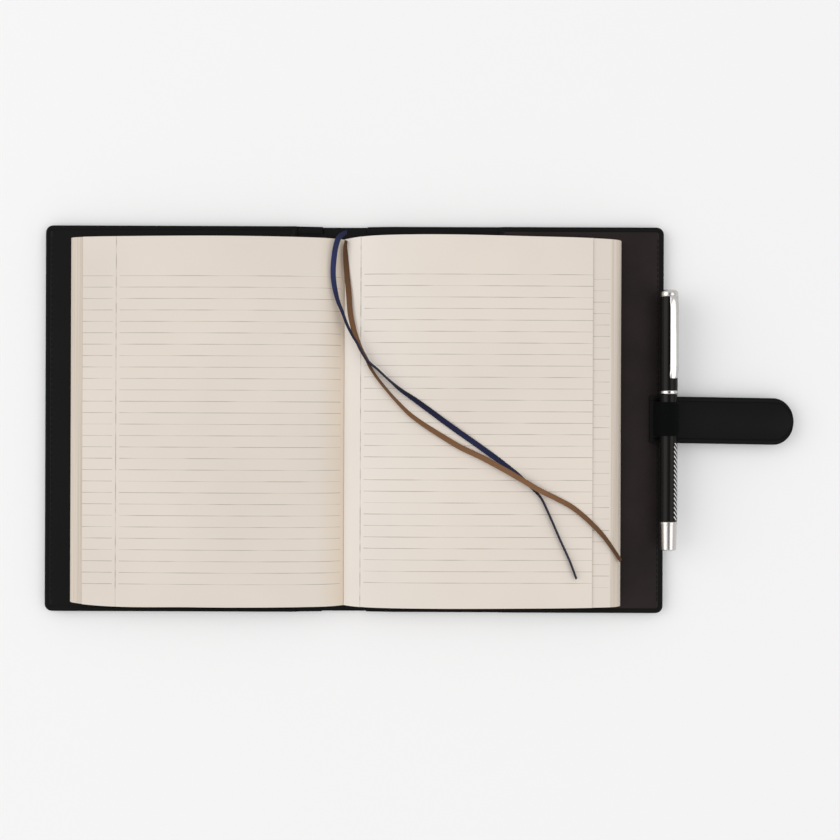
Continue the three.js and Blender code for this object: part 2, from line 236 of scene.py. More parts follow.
def leather(name, colour, rough=0.5, grain=900):
    """Smooth leather with a fine pebble grain, faint mottling and dull patches."""
    n = Nodes(name)
    where = n.coordinates()
    mottle = n.noise(where, 35, 4)
    colour_out = n.ramp(mottle, (0.3, lighter(colour, 0.8)), (0.7, lighter(colour, 1.25)))
    n.link(colour_out, n.shader.inputs["Base Color"])
    gloss = n.noise(where, 90, 3)
    n.set(Roughness=n.maths("MULTIPLY_ADD", gloss, 0.16, rough - 0.08))
    n.shader.inputs["Specular IOR Level"].default_value = 0.13
    pebble = n.maths("MULTIPLY_ADD", n.cells(where, grain), 0.7, n.noise(where, grain * 1.6, 2))
    n.bump(pebble, 0.35, 0.00012)
    return n.material


def woven(name, colour, pitch, rough=0.8, sheen=0.2, specular=0.15, along=None):
    """A plain weave: two crossed sets of raised threads, pitch in millimetres."""
    n = Nodes(name)
    parts = n.new("ShaderNodeSeparateXYZ")
    n.link(n.coordinates("UV"), parts.inputs[0])
    turn = 2 * pi / (pitch * MM)
    warp = n.maths("SINE", n.maths("MULTIPLY", parts.outputs["X"], turn))
    weft = n.maths("SINE", n.maths("MULTIPLY", parts.outputs["Y"], turn))
    height = n.maths("MULTIPLY_ADD", n.maths("MULTIPLY", warp, weft), 0.5, 0.5)
    # The thread colour follows the weave's height: painted shade in its hollows and painted highlights on its
    # raised threads.
    threads = n.ramp(height, (0, lighter(colour, 0.7)), (1, lighter(colour, 1.3)))
    # With along given, the colour is multiplied by a ramp along the ribbon's length: painted highlights where
    # the satin catches the light and painted shade between them.
    if along:
        length = n.maths("MULTIPLY", parts.outputs["Y"], 1 / (250 * MM))
        lengthwise_light = n.new("ShaderNodeMix", data_type="RGBA", blend_type="MULTIPLY")
        lengthwise_light.inputs["Factor"].default_value = 1
        n.link(threads, lengthwise_light.inputs["A"])
        n.link(n.ramp(length, *along), lengthwise_light.inputs["B"])
        threads = lengthwise_light.outputs["Result"]
    n.link(threads, n.shader.inputs["Base Color"])
    n.set(Roughness=rough)
    n.shader.inputs["Specular IOR Level"].default_value = specular
    n.shader.inputs["Sheen Weight"].default_value = sheen
    n.bump(height, 0.5, 0.0001)
    return n.material


def metal(name, colour, rough, metallic=1.0, brushed=0.0, specular=0.5):
    """Polished or lacquered metal with fine wipe marks."""
    n = Nodes(name)
    marks = n.noise(n.scaled(n.coordinates(), (60, 900, 60)), 6, 3)
    shade = n.ramp(marks, (0.2, lighter(colour, 0.93)), (0.8, lighter(colour, 1.05)))
    n.link(shade, n.shader.inputs["Base Color"])
    n.set(Roughness=n.maths("MULTIPLY_ADD", marks, 0.08 + brushed, rough))
    n.shader.inputs["Metallic"].default_value = metallic
    n.shader.inputs["Specular IOR Level"].default_value = specular
    n.bump(marks, 0.02 + brushed, 0.00001)
    return n.material


def hatched(name):
    """Chrome strip with diagonal hatching cut into it and filled black."""
    n = Nodes(name)
    parts = n.new("ShaderNodeSeparateXYZ")
    n.link(n.coordinates("UV"), parts.inputs[0])
    lean = n.maths("ADD", parts.outputs["X"], parts.outputs["Y"])
    wave = n.maths("SINE", n.maths("MULTIPLY", lean, 2 * pi / (2.5 * MM)))
    colour = n.ramp(wave, (0.35, (0.006, 0.006, 0.006)), (0.65, (0.85, 0.82, 0.80)))
    n.link(colour, n.shader.inputs["Base Color"])
    n.set(Roughness=0.28)
    n.shader.inputs["Metallic"].default_value = 0.4
    n.bump(wave, 0.3, 0.0001)
    return n.material


PAPER = (0.745, 0.670, 0.595)
RULE = (0.42, 0.375, 0.32)
RULE_PITCH = 6.16
RULE_LINES = 28


def paper(name, first_line, margin_x, line_range, tone=1.0, gutter_light_tint=(1.03, 0.98, 0.90), tint_reach=14):
    """Cream paper with ruled lines and a margin rule, read from a UV map in metres along X and Y."""
    n = Nodes(name)
    parts = n.new("ShaderNodeSeparateXYZ")
    n.link(n.coordinates("UV"), parts.inputs[0])
    x, y = parts.outputs["X"], parts.outputs["Y"]
    half = 0.16 * MM
    step = RULE_PITCH * MM
    down = n.maths("SUBTRACT", first_line * MM + step / 2, y)
    row = n.maths("ABSOLUTE", n.maths("SUBTRACT", n.maths("FLOORED_MODULO", down, step), step / 2))
    line = n.maths("LESS_THAN", row, half)
    before_end = n.maths("LESS_THAN", down, RULE_LINES * step)
    inside = n.maths("MULTIPLY", n.maths("GREATER_THAN", down, 0.0), before_end)
    from_x, to_x = (limit * MM for limit in line_range)
    reach = n.maths("MULTIPLY", n.maths("GREATER_THAN", x, from_x), n.maths("LESS_THAN", x, to_x))
    beside = n.maths("ABSOLUTE", n.maths("SUBTRACT", x, margin_x * MM))
    clear = n.maths("GREATER_THAN", beside, 1.9 * MM)
    lines = n.maths("MULTIPLY", n.maths("MULTIPLY", line, inside), n.maths("MULTIPLY", reach, clear))
    margin = n.maths("LESS_THAN", beside, 0.22 * MM)
    ink = n.maths("MAXIMUM", lines, margin)
    fibre = n.noise(n.coordinates(), 500, 4)
    wash = n.noise(n.coordinates(), 14, 2)
    sheet = n.ramp(wash, (0.3, lighter(PAPER, 0.965 * tone)), (0.7, lighter(PAPER, 1.02 * tone)))
    worn = n.noise(n.scaled(n.coordinates("UV"), (45, 170, 1)), 1, 1)
    strength = n.maths("MULTIPLY_ADD", n.ramp(worn, (0.38, (0, 0, 0)), (0.62, (1, 1, 1))), 0.7, 0.3)
    patchy = n.maths("MULTIPLY", ink, strength)
    # Near the gutter the sheet colour is multiplied by a tint that fades out with distance from the gutter.
    # This is painted light and shade: painted warm shade with the default tint, and painted light on the right
    # page.
    near_gutter = n.maths("ABSOLUTE", n.maths("SUBTRACT", x, GUTTER_X * MM))
    gutter_light_share = n.new("ShaderNodeMapRange")
    n.link(near_gutter, gutter_light_share.inputs["Value"])
    for key, value in (("From Min", 0.0), ("From Max", tint_reach * MM), ("To Min", 1.0), ("To Max", 0.0)):
        gutter_light_share.inputs[key].default_value = value
    tinted = n.new("ShaderNodeMix", data_type="RGBA", blend_type="MULTIPLY")
    n.link(gutter_light_share.outputs["Result"], tinted.inputs["Factor"])
    n.link(sheet, tinted.inputs["A"])
    tinted.inputs["B"].default_value = (*gutter_light_tint, 1)
    n.link(n.mix(patchy, tinted.outputs["Result"], RULE), n.shader.inputs["Base Color"])
    n.set(Roughness=0.85)
    n.shader.inputs["Specular IOR Level"].default_value = 0.2
    n.bump(fibre, 0.15, 0.00006)
    return n.material


def page_edges(name):
    """The edges of many leaves: fine light and dark lines across the UV map's V."""
    n = Nodes(name)
    stretched = n.scaled(n.coordinates("UV"), (8, 9000, 1))
    lines = n.noise(stretched, 1, 2)
    n.link(n.ramp(lines, (0.3, (0.56, 0.48, 0.40)), (0.7, (0.74, 0.66, 0.57))), n.shader.inputs["Base Color"])
    n.set(Roughness=0.9)
    n.bump(lines, 0.4, 0.00008)
    return n.material


def floor_paint():
    n = Nodes("studio_floor")
    speckle = n.noise(n.coordinates(), 3, 2)
    shade = n.ramp(speckle, (0, (0.905, 0.905, 0.905)), (1, (0.915, 0.915, 0.915)))
    n.link(shade, n.shader.inputs["Base Color"])
    n.set(Roughness=0.9)
    return n.material


BLACK = (0.0022, 0.0021, 0.0020)
# PANEL is a lighter, browner copy of the black panel leather, used for the back pocket panel: painted light on
# that half of the cover.
PANEL = (0.0180, 0.0120, 0.0120)
OUTER_LEATHER = leather("outer_leather", BLACK, 0.5)
BACK_PANEL_PAINTED_LIGHT = leather("back_panel_leather_painted_light", PANEL, 0.52)
FRONT_PANEL_LEATHER = leather("front_panel_leather", BLACK, 0.5)
STRAP_LEATHER = leather("strap_leather", (0.0016, 0.0015, 0.0014), 0.5)
LINING = leather("lining", (0.0015, 0.0016, 0.0014), 0.8, 1400)
EDGE_PAINT = leather("edge_paint", (0.0025, 0.0025, 0.0024), 0.6, 1600)
THREAD = woven("thread", (0.0055, 0.0050, 0.0048), 0.25, 0.7, 0.0)
BOOK_COVER = leather("book_cover", (0.0035, 0.0035, 0.0035), 0.6, 1800)
LOOP_WEAVE = woven("loop_weave", (0.0012, 0.0018, 0.0016), 0.6, 0.9, 0.0, 0.09)
# The last list of each ribbon is its ramp along the length: lighter and darker stretches that are painted
# highlights and painted shade of the twisting satin.
NAVY = woven("navy_ribbon", (0.024, 0.032, 0.105), 0.35, 0.5, 0.03, 0.15,
             [(0, (0.5, 0.5, 0.5)), (0.08, (1, 1, 1)), (0.2, (0.4, 0.4, 0.45)), (0.4, (0.25, 0.25, 0.25)),
              (0.6, (0.45, 0.45, 0.5)), (1, (0.2, 0.25, 0.25))])
BROWN = woven("brown_ribbon", (0.25, 0.125, 0.056), 0.35, 0.5, 0.05, 0.15,
              [(0, (0.3, 0.28, 0.28)), (0.15, (0.6, 0.56, 0.55)), (0.3, (0.85, 0.85, 0.85)),
               (0.5, (0.75, 0.75, 0.75)), (0.75, (0.9, 0.9, 0.95)), (1, (0.4, 0.38, 0.38))])
GUNMETAL = metal("gunmetal", (0.0060, 0.0050, 0.0044), 0.16, 0.0, 0.0, 0.14)
CHROME = metal("chrome", (0.62, 0.60, 0.585), 0.10)
SATIN_CHROME = metal("satin_chrome", (0.60, 0.575, 0.555), 0.16, 1.0, 0.04)
HATCH = hatched("hatch")
GRIP_PLASTIC = metal("grip_plastic", (0.010, 0.010, 0.010), 0.35, 0.0)
# The right page's copy is painted 2% brighter, with a brighter, bluer tint reaching 60 mm from the gutter:
# painted light on the right page. The left copy and the lower right copy keep the default warm tint, painted
# shade by the gutter. The lower right copy is also a little darker overall.
PAPER_RIGHT = paper("paper_right", 78.3, -31.5, (-29.9, 200), 1.02, (1.05, 1.08, 1.11), 60)
PAPER_RIGHT_LOWER = paper("paper_right_lower", 76.0, -31.5, (-29.9, 103), 0.985)
PAPER_LEFT = paper("paper_left", 77.0, -163.6, (-200, -42.5))
PAGE_EDGE = page_edges("page_edge")

# ---------------------------------------------------------------- mesh helpers


def make(name, vertices, faces, material, uvs=None, smooth=True):
    """A mesh object from millimetre vertices. uvs gives one (u, v) in millimetres for each vertex."""
    mesh = bpy.data.meshes.new(name)
    mesh.from_pydata([[c * MM for c in v] for v in vertices], [], faces)
    mesh.validate()
    materials = material if isinstance(material, (list, tuple)) else [material]
    for each in materials:
        mesh.materials.append(each)
    if uvs is not None:
        layer = mesh.uv_layers.new(name="UVMap")
        for loop in mesh.loops:
            u, v = uvs[loop.vertex_index]
            layer.data[loop.index].uv = (u * MM, v * MM)
    obj = bpy.data.objects.new(name, mesh)
    bpy.context.scene.collection.objects.link(obj)
    for polygon in mesh.polygons:
        polygon.use_smooth = smooth
    return obj


def sharpen(obj, angle=32):
    """Keeps edges sharper than the angle crisp."""
    bpy.context.view_layer.objects.active = obj
    obj.select_set(True)
    bpy.ops.object.shade_smooth_by_angle(angle=radians(angle))
    obj.select_set(False)


def loft(rings, close_ends=True):
    """Faces between rings of equal length, with the first and last ring filled in."""
    count = len(rings[0])
    vertices = [p for ring in rings for p in ring]
    faces = []
    for r in range(len(rings) - 1):
        for i in range(count):
            j = (i + 1) % count
            a, b = r * count, (r + 1) * count
            faces.append((a + i, a + j, b + j, b + i))
    if close_ends:
        faces.append(tuple(reversed(range(count))))
        last = (len(rings) - 1) * count
        faces.append(tuple(last + i for i in range(count)))
    return vertices, faces


def ring_loft(rings):
    """A loft whose last ring joins its first, so that it has no ends."""
    vertices, faces = loft(rings + [rings[0]], close_ends=False)
    last = len(rings) * len(rings[0])
    return vertices[:last], [tuple(i - last if i >= last else i for i in face) for face in faces]


def rounded_outline(x0, x1, y0, y1, radii, inset, steps=6):
    """A rounded rectangle, counter-clockwise from its lower left corner, shrunk by inset. radii are for the
    lower left, lower right, upper right and upper left corners."""
    corners = [(x0, y0, pi), (x1, y0, 1.5 * pi), (x1, y1, 0), (x0, y1, pi / 2)]
    signs = [(1, 1), (-1, 1), (-1, -1), (1, -1)]
    points = []
    for (x, y, start), (sx, sy), radius in zip(corners, signs, radii):
        r = max(radius - inset, 0.05)
        cx, cy = x + sx * (inset + r), y + sy * (inset + r)
        for k in range(steps + 1):
            turn = start + k / steps * pi / 2
            points.append((cx + r * cos(turn), cy + r * sin(turn)))
    return points


def panel(name, x0, x1, radii, low, high, material, crease=2.5, y=COVER_Y):
    """A leather panel with rounded edges and a pressed crease line just inside them."""
    soft = min(0.45, (high - low) / 2)
    rings = [(soft + 1.5, low), (soft, low), (0.12, low + soft * 0.35), (0, (low + high) / 2),
             (0.12, high - soft * 0.35), (soft, high)]
    if not crease:
        rings += [(soft + 1.5, high)]
    else:
        rings += [(crease - 0.7, high - 0.05), (crease - 0.2, high - 0.4), (crease + 0.1, high - 0.4),
                  (crease + 0.6, high), (crease + 1.5, high)]
    loops = []
    for inset, z in rings:
        loops.append([(px, py, z) for px, py in rounded_outline(x0, x1, *y, radii, inset)])
    obj = make(name, *loft(loops), [material, OUTER_LEATHER])
    turned_in = len(loops[0]) * 8 if crease else 0
    for polygon in obj.data.polygons[:turned_in]:
        polygon.material_index = 1
    return obj


def divided(points, step=3.0):
    """The closed outline with points added so that none are further apart than the step."""
    out = []
    for (ax, ay), (bx, by) in zip(points, points[1:] + points[:1]):
        count = max(1, round(hypot(bx - ax, by - ay) / step))
        out += [(ax + (bx - ax) * k / count, ay + (by - ay) * k / count) for k in range(count)]
    return out


def edge_binding(name, x0, x1, radii, low, height):
    """A thin painted edge that runs round a panel's outline and covers its layers, up to height(x)."""
    section = [(0.02, 0, 0), (0.30, 0, 0.1), (0.30, 1, -0.1), (0.02, 1, 0), (-0.06, 1, -0.4), (-0.06, 0, 0.4)]
    rings = []
    for inset, share, lift in section:
        outline = divided(rounded_outline(x0, x1, *COVER_Y, radii, max(inset, 0) + 0.001))
        ring = []
        for px, py in outline:
            nx = (px - (x0 + x1) / 2) / (x1 - x0) * 2
            ny = py / COVER_Y[1]
            push = -min(inset, 0)
            ring.append((px + push * (abs(nx) > 0.97) * nx, py + push * (abs(ny) > 0.97) * ny,
                         low + (height(px) - low) * share + lift))
        rings.append(ring)
    return make(name, *ring_loft(rings), EDGE_PAINT)


# ---------------------------------------------------------------- ribbons

NAVY_ROUTE = [
    (-39.4, 101.4, 10.4), (-43.3, 98.1, 12.4), (-45.2, 92.7, 13), (-46.3, 84.4, 12.4), (-46.5, 77.8, 12.2),
    (-45.7, 71.2, 12.3), (-43.9, 63.8, 12.6), (-41.4, 57.7, 12.8), (-38.9, 51.1, 13.8), (-36, 45.4, 14.6),
    (-32.7, 40, 15.2), (-28, 32, 15.5), (-22.2, 26.8, 15.5), (-16.5, 21.5, 15.5), (-9.8, 15.8, 15.4),
    (-2.2, 10.6, 15.4), (6.9, 4, 15.2), (14.1, -1.3, 15.2), (22.1, -7, 15.2), (31.7, -13.7, 15),
    (46.5, -24.2, 14.9), (54.4, -30.1, 14.7), (61.4, -37.1, 14.6), (66.3, -42.6, 14.5), (71.3, -53.1, 14.4),
    (76.3, -64.4, 14.2), (81.4, -75.5, 14.1), (85.2, -85.5, 14.1),
]
BROWN_ROUTE = [
    (-39.7, 96.9, 9.6), (-40.2, 92, 9.4), (-39.4, 80.4, 9.8), (-38.1, 67.7, 10.9), (-37.2, 57.3, 11.8),
    (-35.4, 48.9, 12.7), (-34.2, 45.1, 13.3), (-31.5, 38.2, 13.9), (-28, 32, 14.3), (-26.1, 27.7, 14.3),
    (-22.3, 22, 14.6), (-16.5, 14.9, 14.7), (-10.8, 8.6, 14.9), (-5, 2.9, 15.1), (2.1, -2.4, 15.2),
    (11.7, -8.5, 15.3), (22.1, -14.7, 15.5), (34.1, -20.4, 15.8), (48.9, -28.4, 16.4), (63.6, -37, 16.3),
    (76.2, -43.3, 14.9), (83.7, -47.6, 14.3), (92.6, -55.1, 14.1), (100.4, -63.4, 13.6), (109.4, -75.9, 12),
]
RIBBON_WIDTH = 3.0
RIBBON_THICKNESS = 0.35
# Each ribbon is split at RIBBON_SPLIT_X into a head and a tail. Far thinner than real ribbon, to stay out of
# the pages.
RIBBON_SPLIT_X = -31.2
RIBBON_ACROSS = [-1, -0.92, -0.3, 0.3, 0.92, 1, 1, 0.92, 0.3, -0.3, -0.92, -1]
RIBBON_UP = [-0.4, -1, -1, -1, -1, -0.4, 0.4, 1, 1, 1, 1, 0.4]


def smooth_route(points, per_span=6):
    """A Catmull-Rom curve through the points."""
    p = np.array(points, float)
    p = np.vstack([2 * p[0] - p[1], p, 2 * p[-1] - p[-2]])
    out = []
    for a, b, c, d in zip(p, p[1:], p[2:], p[3:]):
        for k in range(per_span):
            t = k / per_span
            bend = (2 * a - 5 * b + 4 * c - d) * t**2 + (3 * b - a - 3 * c + d) * t**3
            out.append(0.5 * (2 * b + (c - a) * t + bend))
    out.append(p[-2])
    return np.array(out)


def ribbon(name, route, rolls, material, node):
    """A flat ribbon along a route. rolls gives [share of its length, degrees that it leans from flat]."""
    line = smooth_route(route)
    steps = np.linalg.norm(np.diff(line, axis=0), axis=1)
    along = np.concatenate([[0], np.cumsum(steps)])
    lean = np.radians(np.interp(along / along[-1], *zip(*rolls)))
    ahead = np.gradient(line, axis=0)
    ahead /= np.linalg.norm(ahead, axis=1)[:, None]
    rings = []
    for centre, forward, turn in zip(line, ahead, lean):
        side = np.cross(forward, (0, 0, 1))
        side /= np.linalg.norm(side)
        up = np.cross(side, forward)
        across = side * cos(turn) + up * sin(turn)
        normal = up * cos(turn) - side * sin(turn)
        w, t = RIBBON_WIDTH / 2, RIBBON_THICKNESS / 2
        ring = []
        for u, v in zip(RIBBON_ACROSS, RIBBON_UP):
            ring.append(tuple(centre + across * u * w + normal * v * t))
        rings.append(ring)
    clear = int(np.argmax(line[:, 0] > RIBBON_SPLIT_X))
    pieces = []
    for word, first, last in [("head", 0, clear), ("tail", clear, len(line) - 1)]:
        uvs = [(u * RIBBON_WIDTH / 2, s) for s in along[first:last + 1] for u in RIBBON_ACROSS]
        piece = make(f"{name}_{word}", *loft(rings[first:last + 1]), material, uvs)
        sharpen(piece, 70)
        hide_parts(node)
        pieces.append(piece)
    head, tail = pieces
    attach(head, "back_cover")
    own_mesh(head)
    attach(tail, "back_cover")
    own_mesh(tail)


NAVY_LEAN = [
    (0, 65), (0.03, 15), (0.12, 25), (0.2, 62), (0.3, 68), (0.38, 70), (0.46, 25), (0.56, 0), (0.66, 15),
    (0.72, 50), (0.78, 66), (1, 66),
]
BROWN_LEAN = [
    (0, 70), (0.03, 30), (0.1, 5), (0.2, 20), (0.3, 64), (0.36, 62), (0.46, 35), (0.55, 10), (0.8, 25),
    (0.9, 30), (1, 50),
]
ribbon("ribbon_navy_silk", NAVY_ROUTE, NAVY_LEAN, NAVY, "ribbon_navy")
ribbon("ribbon_brown_silk", BROWN_ROUTE, BROWN_LEAN, BROWN, "ribbon_brown")

# ---------------------------------------------------------------- pages

RIGHT_SURFACE = [(0.05, 6.4), (2.5, 8.5), (5.5, 10.2), (9.4, 11.7), (14, 12.7), (25, 13.6), (45, 14.2),
                 (70, 14.1), (100, 13.6), (134.6, 12.9)]
LEFT_SURFACE = [(0.05, 6), (2.5, 7.8), (5.5, 9.5), (9.4, 10.9), (20, 12.4), (34, 13.4), (60, 14), (100, 13.2),
                (141.2, 11.2)]
RIGHT_HEAD = [(0.05, 97.9), (12, 98.9), (40, 99.7), (60, 99.7), (100, 99), (134.6, 98.2), (150.9, 97.3)]
RIGHT_TAIL = [(0.05, -101.2), (20, -101.7), (45, -101.9), (90, -101.8), (134.6, -101.3), (150.9, -100.8)]
LEFT_HEAD = [(0.05, 97.8), (20, 98.1), (60, 98.5), (110, 98.4), (141.2, 98.1), (149.1, 97.9)]
LEFT_TAIL = [(0.05, -101.3), (40, -101.6), (80, -101.6), (141.2, -100.5), (149.1, -99.6)]
BLOCK_START = 9.4
RIGHT_BASE_TOP_Z = 12.2
LEFT_BASE_TOP_Z = 10.4


def curve(points, u):
    """A smooth curve through (u, value) points."""
    p = np.array(points, float)
    slopes = np.gradient(p[:, 1], p[:, 0])
    k = np.clip(np.searchsorted(p[:, 0], u) - 1, 0, len(p) - 2)
    (x0, y0), (x1, y1) = p[k], p[k + 1]
    h = x1 - x0
    t = (u - x0) / h
    a, b = slopes[k] * h, slopes[k + 1] * h
    return float(y0 + a * t + (3 * (y1 - y0) - 2 * a - b) * t**2 + (2 * (y0 - y1) + a + b) * t**3)


def page_block(name, side, us, upper, lower, head, tail, sheet, shrink=0.0, rows=12, fan_start=None):
    """A block of leaves between two surfaces. Its top carries the ruled paper and its other faces the leaf
    edges, and past fan_start the top shows the fanned edges of the leaves too."""
    vertices, uvs, faces = [], [], []
    layers = 3
    for layer in range(layers):
        share = layer / (layers - 1)
        for u in us:
            low, high = lower(u), upper(u)
            y0, y1 = curve(tail, u) + shrink, curve(head, u) - shrink
            for r in range(rows + 1):
                y = y0 + (y1 - y0) * r / rows
                vertices.append((GUTTER_X + side * u, y, low + (high - low) * share))
                uvs.append((GUTTER_X + side * u, y))
    width, deep = rows + 1, len(us)

    def at(layer, i, r):
        return (layer * deep + i) * width + r

    top = layers - 1
    for i in range(deep - 1):
        for r in range(rows):
            faces.append((at(top, i, r), at(top, i + 1, r), at(top, i + 1, r + 1), at(top, i, r + 1)))
            faces.append((at(0, i, r), at(0, i, r + 1), at(0, i + 1, r + 1), at(0, i + 1, r)))
    sheet_faces = len(faces)
    for layer in range(top):
        for i in range(deep - 1):
            faces.append((at(layer, i, 0), at(layer, i + 1, 0), at(layer + 1, i + 1, 0), at(layer + 1, i, 0)))
            faces.append((at(layer, i, rows), at(layer + 1, i, rows),
                          at(layer + 1, i + 1, rows), at(layer, i + 1, rows)))
        for r in range(rows):
            faces.append((at(layer, 0, r), at(layer + 1, 0, r), at(layer + 1, 0, r + 1), at(layer, 0, r + 1)))
            end = deep - 1
            faces.append((at(layer, end, r), at(layer, end, r + 1),
                          at(layer + 1, end, r + 1), at(layer + 1, end, r)))
    if side < 0:
        faces = [tuple(reversed(face)) for face in faces]
    obj = make(name, vertices, faces, [sheet, PAGE_EDGE], uvs)
    layer = obj.data.uv_layers[0]
    for polygon in obj.data.polygons[sheet_faces:]:
        polygon.material_index = 1
        for k in polygon.loop_indices:
            x, y, z = obj.data.vertices[obj.data.loops[k].vertex_index].co
            layer.data[k].uv = (x + y, z)
    if fan_start is not None:
        for polygon in obj.data.polygons[:sheet_faces]:
            middle = (sum(obj.data.vertices[i].co.x for i in polygon.vertices) / 4 / MM - GUTTER_X) * side
            if middle > fan_start:
                polygon.material_index = 1
                for k in polygon.loop_indices:
                    x, y, z = obj.data.vertices[obj.data.loops[k].vertex_index].co
                    layer.data[k].uv = (y, x * 0.35)
    sharpen(obj, 35)
    return obj


def steps_between(*stops, fine=2.5):
    """Distances from the first stop to the last, with each stop among them."""
    out = []
    for a, b in zip(stops, stops[1:]):
        count = max(1, round((b - a) / fine))
        out += [a + (b - a) * k / count for k in range(count)]
    return out + [stops[-1]]


def pages():
    """Each side's flat block, the arch over it and its gutter folds, and the one leaf that turns."""
    for side, word, surface, head, tail, sheet, reach, lip, base_top in [
        (1, "right", RIGHT_SURFACE, RIGHT_HEAD, RIGHT_TAIL, PAPER_RIGHT, 150.9, 144.5, RIGHT_BASE_TOP_Z),
        (-1, "left", LEFT_SURFACE, LEFT_HEAD, LEFT_TAIL, PAPER_LEFT, 149.1, 143.5, LEFT_BASE_TOP_Z),
    ]:
        body = "back_cover" if side > 0 else "front_cover"
        edge = surface[-1][0]
        gap = 0.35 if side > 0 else -0.02
        lap = 0.0 if side > 0 else 0.4

        def top(u, surface=surface, gap=gap):
            return curve(surface, u) - gap

        def base(u, reach=reach, lip=lip, top=top, edge=edge, base_top=base_top):
            past = max(0.0, (u - lip) / (reach - lip))
            shoulder = (base_top - PAGE_BOTTOM_Z - 0.3) * (1 - past**2.4) ** 0.5 + PAGE_BOTTOM_Z + 0.3
            return min(shoulder - (0.22 if past > 0 else 0), top(min(u, edge)) - 0.13)

        stops = steps_between(BLOCK_START, 30, edge, lip, fine=4) + steps_between(lip + 0.05, reach, fine=0.5)
        lower_sheet, fan_start = (PAPER_RIGHT_LOWER, lip) if side > 0 else (PAPER_LEFT, edge)
        block = page_block(f"pages_{word}_block", side, stops, base, lambda u: PAGE_BOTTOM_Z, head, tail,
                           lower_sheet, fan_start=fan_start)
        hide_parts(f"pages_{word}_base")
        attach(block, body)
        stops = steps_between(BLOCK_START - lap, 12, 20, edge, fine=1.5)
        arch = page_block(f"pages_{word}_arch", side, stops, top, lambda u, base=base: base(u) + 0.08,
                          head, tail, sheet)
        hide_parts(f"pages_{word}_top")
        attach(arch, body)
        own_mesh(arch)
        folds = page_block(f"pages_{word}_gutter", side, steps_between(0.05, BLOCK_START, fine=0.7),
                           lambda u, surface=surface: curve(surface, u),
                           lambda u: 3.7 if u < 8.6 else PAGE_BOTTOM_Z, head, tail, sheet)
        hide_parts(f"pages_{word}_folds")
        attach(folds, body)
        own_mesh(folds)
    stops = steps_between(BLOCK_START - 0.4, 12, 20, RIGHT_SURFACE[-1][0] - 0.2, fine=1.5)
    leaf = page_block("turning_leaf_sheet", 1, stops, lambda u: curve(RIGHT_SURFACE, u) + 0.02,
                      lambda u: curve(RIGHT_SURFACE, u) - 0.23, RIGHT_HEAD, RIGHT_TAIL, PAPER_RIGHT,
                      shrink=0.15)
    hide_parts("leaf")
    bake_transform(leaf)


pages()

# ---------------------------------------------------------------- cover

PANEL_RADIUS = 4
SKIN_OVERLAP = 3.0


def stitches(name, runs, body):
    """Short threads laid end to end along straight runs, all in one mesh. A run is (start, end)."""
    vertices, faces = [], []
    pitch, length, half = 3.1, 2.3, 0.28
    for start, end in runs:
        a, b = Vector(start), Vector(end)
        along = (b - a).normalized()
        side = along.cross(Vector((0, 0, 1)))
        for k in range(int((b - a).length / pitch)):
            centre = a + along * (k + 0.5) * pitch
            first = len(vertices)
            for shift, size in [(-0.5, 0.25), (-0.36, 0.9), (0, 1), (0.36, 0.9), (0.5, 0.25)]:
                middle = centre + along * shift * length
                for turn in range(6):
                    angle = turn * pi / 3
                    spot = middle + side * cos(angle) * half * size
                    vertices.append(tuple(spot + Vector((0, 0, sin(angle) * half * size * 0.8))))
            for ring in range(4):
                for turn in range(6):
                    p, q = first + ring * 6 + turn, first + ring * 6 + (turn + 1) % 6
                    faces.append((p, q, q + 6, p + 6))
            faces.append(tuple(first + t for t in reversed(range(6))))
            faces.append(tuple(first + 24 + t for t in range(6)))
    obj = make(name, vertices, faces, THREAD, [(v[0] + v[2], v[1]) for v in vertices])
    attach(obj, body)
    return obj


def cover_half(word, x0, x1, pocket, panel_leather):
    """Outer leather with its stiffener and lining, the pocket panel, the bound edge and the stitching."""
    outer = x1 if word == "back" else x0
    inner = x0 if word == "back" else x1
    away = 1 if word == "back" else -1
    body = f"{word}_cover"
    hidden = inner + away * (SKIN_OVERLAP - 0.3)
    low_x, high_x = sorted((hidden, outer))
    square, curved = 0.3, PANEL_RADIUS
    round_side = (square, curved, curved, square) if away > 0 else (curved, square, square, curved)
    slab = panel(f"{word}_cover_leather", low_x, high_x, round_side, 0, 2.9, OUTER_LEATHER, crease=0)
    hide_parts(f"{word}_leather", f"{word}_stiffener", f"{word}_lining")
    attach(slab, body)
    low_x, high_x = sorted((pocket, outer))
    flap = panel(f"{word}_pocket_panel", low_x, high_x, round_side, *POCKET_Z, panel_leather)
    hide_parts(f"{word}_pocket")
    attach(flap, body)
    low_x, high_x = sorted((inner + away * SKIN_OVERLAP, outer))

    def height(x):
        from_spine = (x - inner) * away
        covered = 1 if (x - pocket) * away > 0 else 0
        return 2.6 + min(1.0, (from_spine - SKIN_OVERLAP) / 14) * 1.4 + covered * 0.85

    binding = edge_binding(f"{word}_bound_edge", low_x, high_x, round_side, 0.5, height)
    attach(binding, body)
    line = outer - away * 3.3
    z = POCKET_Z[1] + 0.02
    runs = [((line, COVER_Y[0] + 6, z), (line, COVER_Y[1] - 6, z))]
    stitches(f"{word}_stitching", runs, body)
    for node in (f"{word}_rim_head", f"{word}_rim_tail", f"{word}_rim_fore"):
        paint(node, EDGE_PAINT)
    paint(f"book_board_{word}", BOOK_COVER)


def paint(node, material):
    """Gives a CAD node that stays in view its material."""
    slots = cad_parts[node].data.materials
    slots.clear()
    slots.append(material)


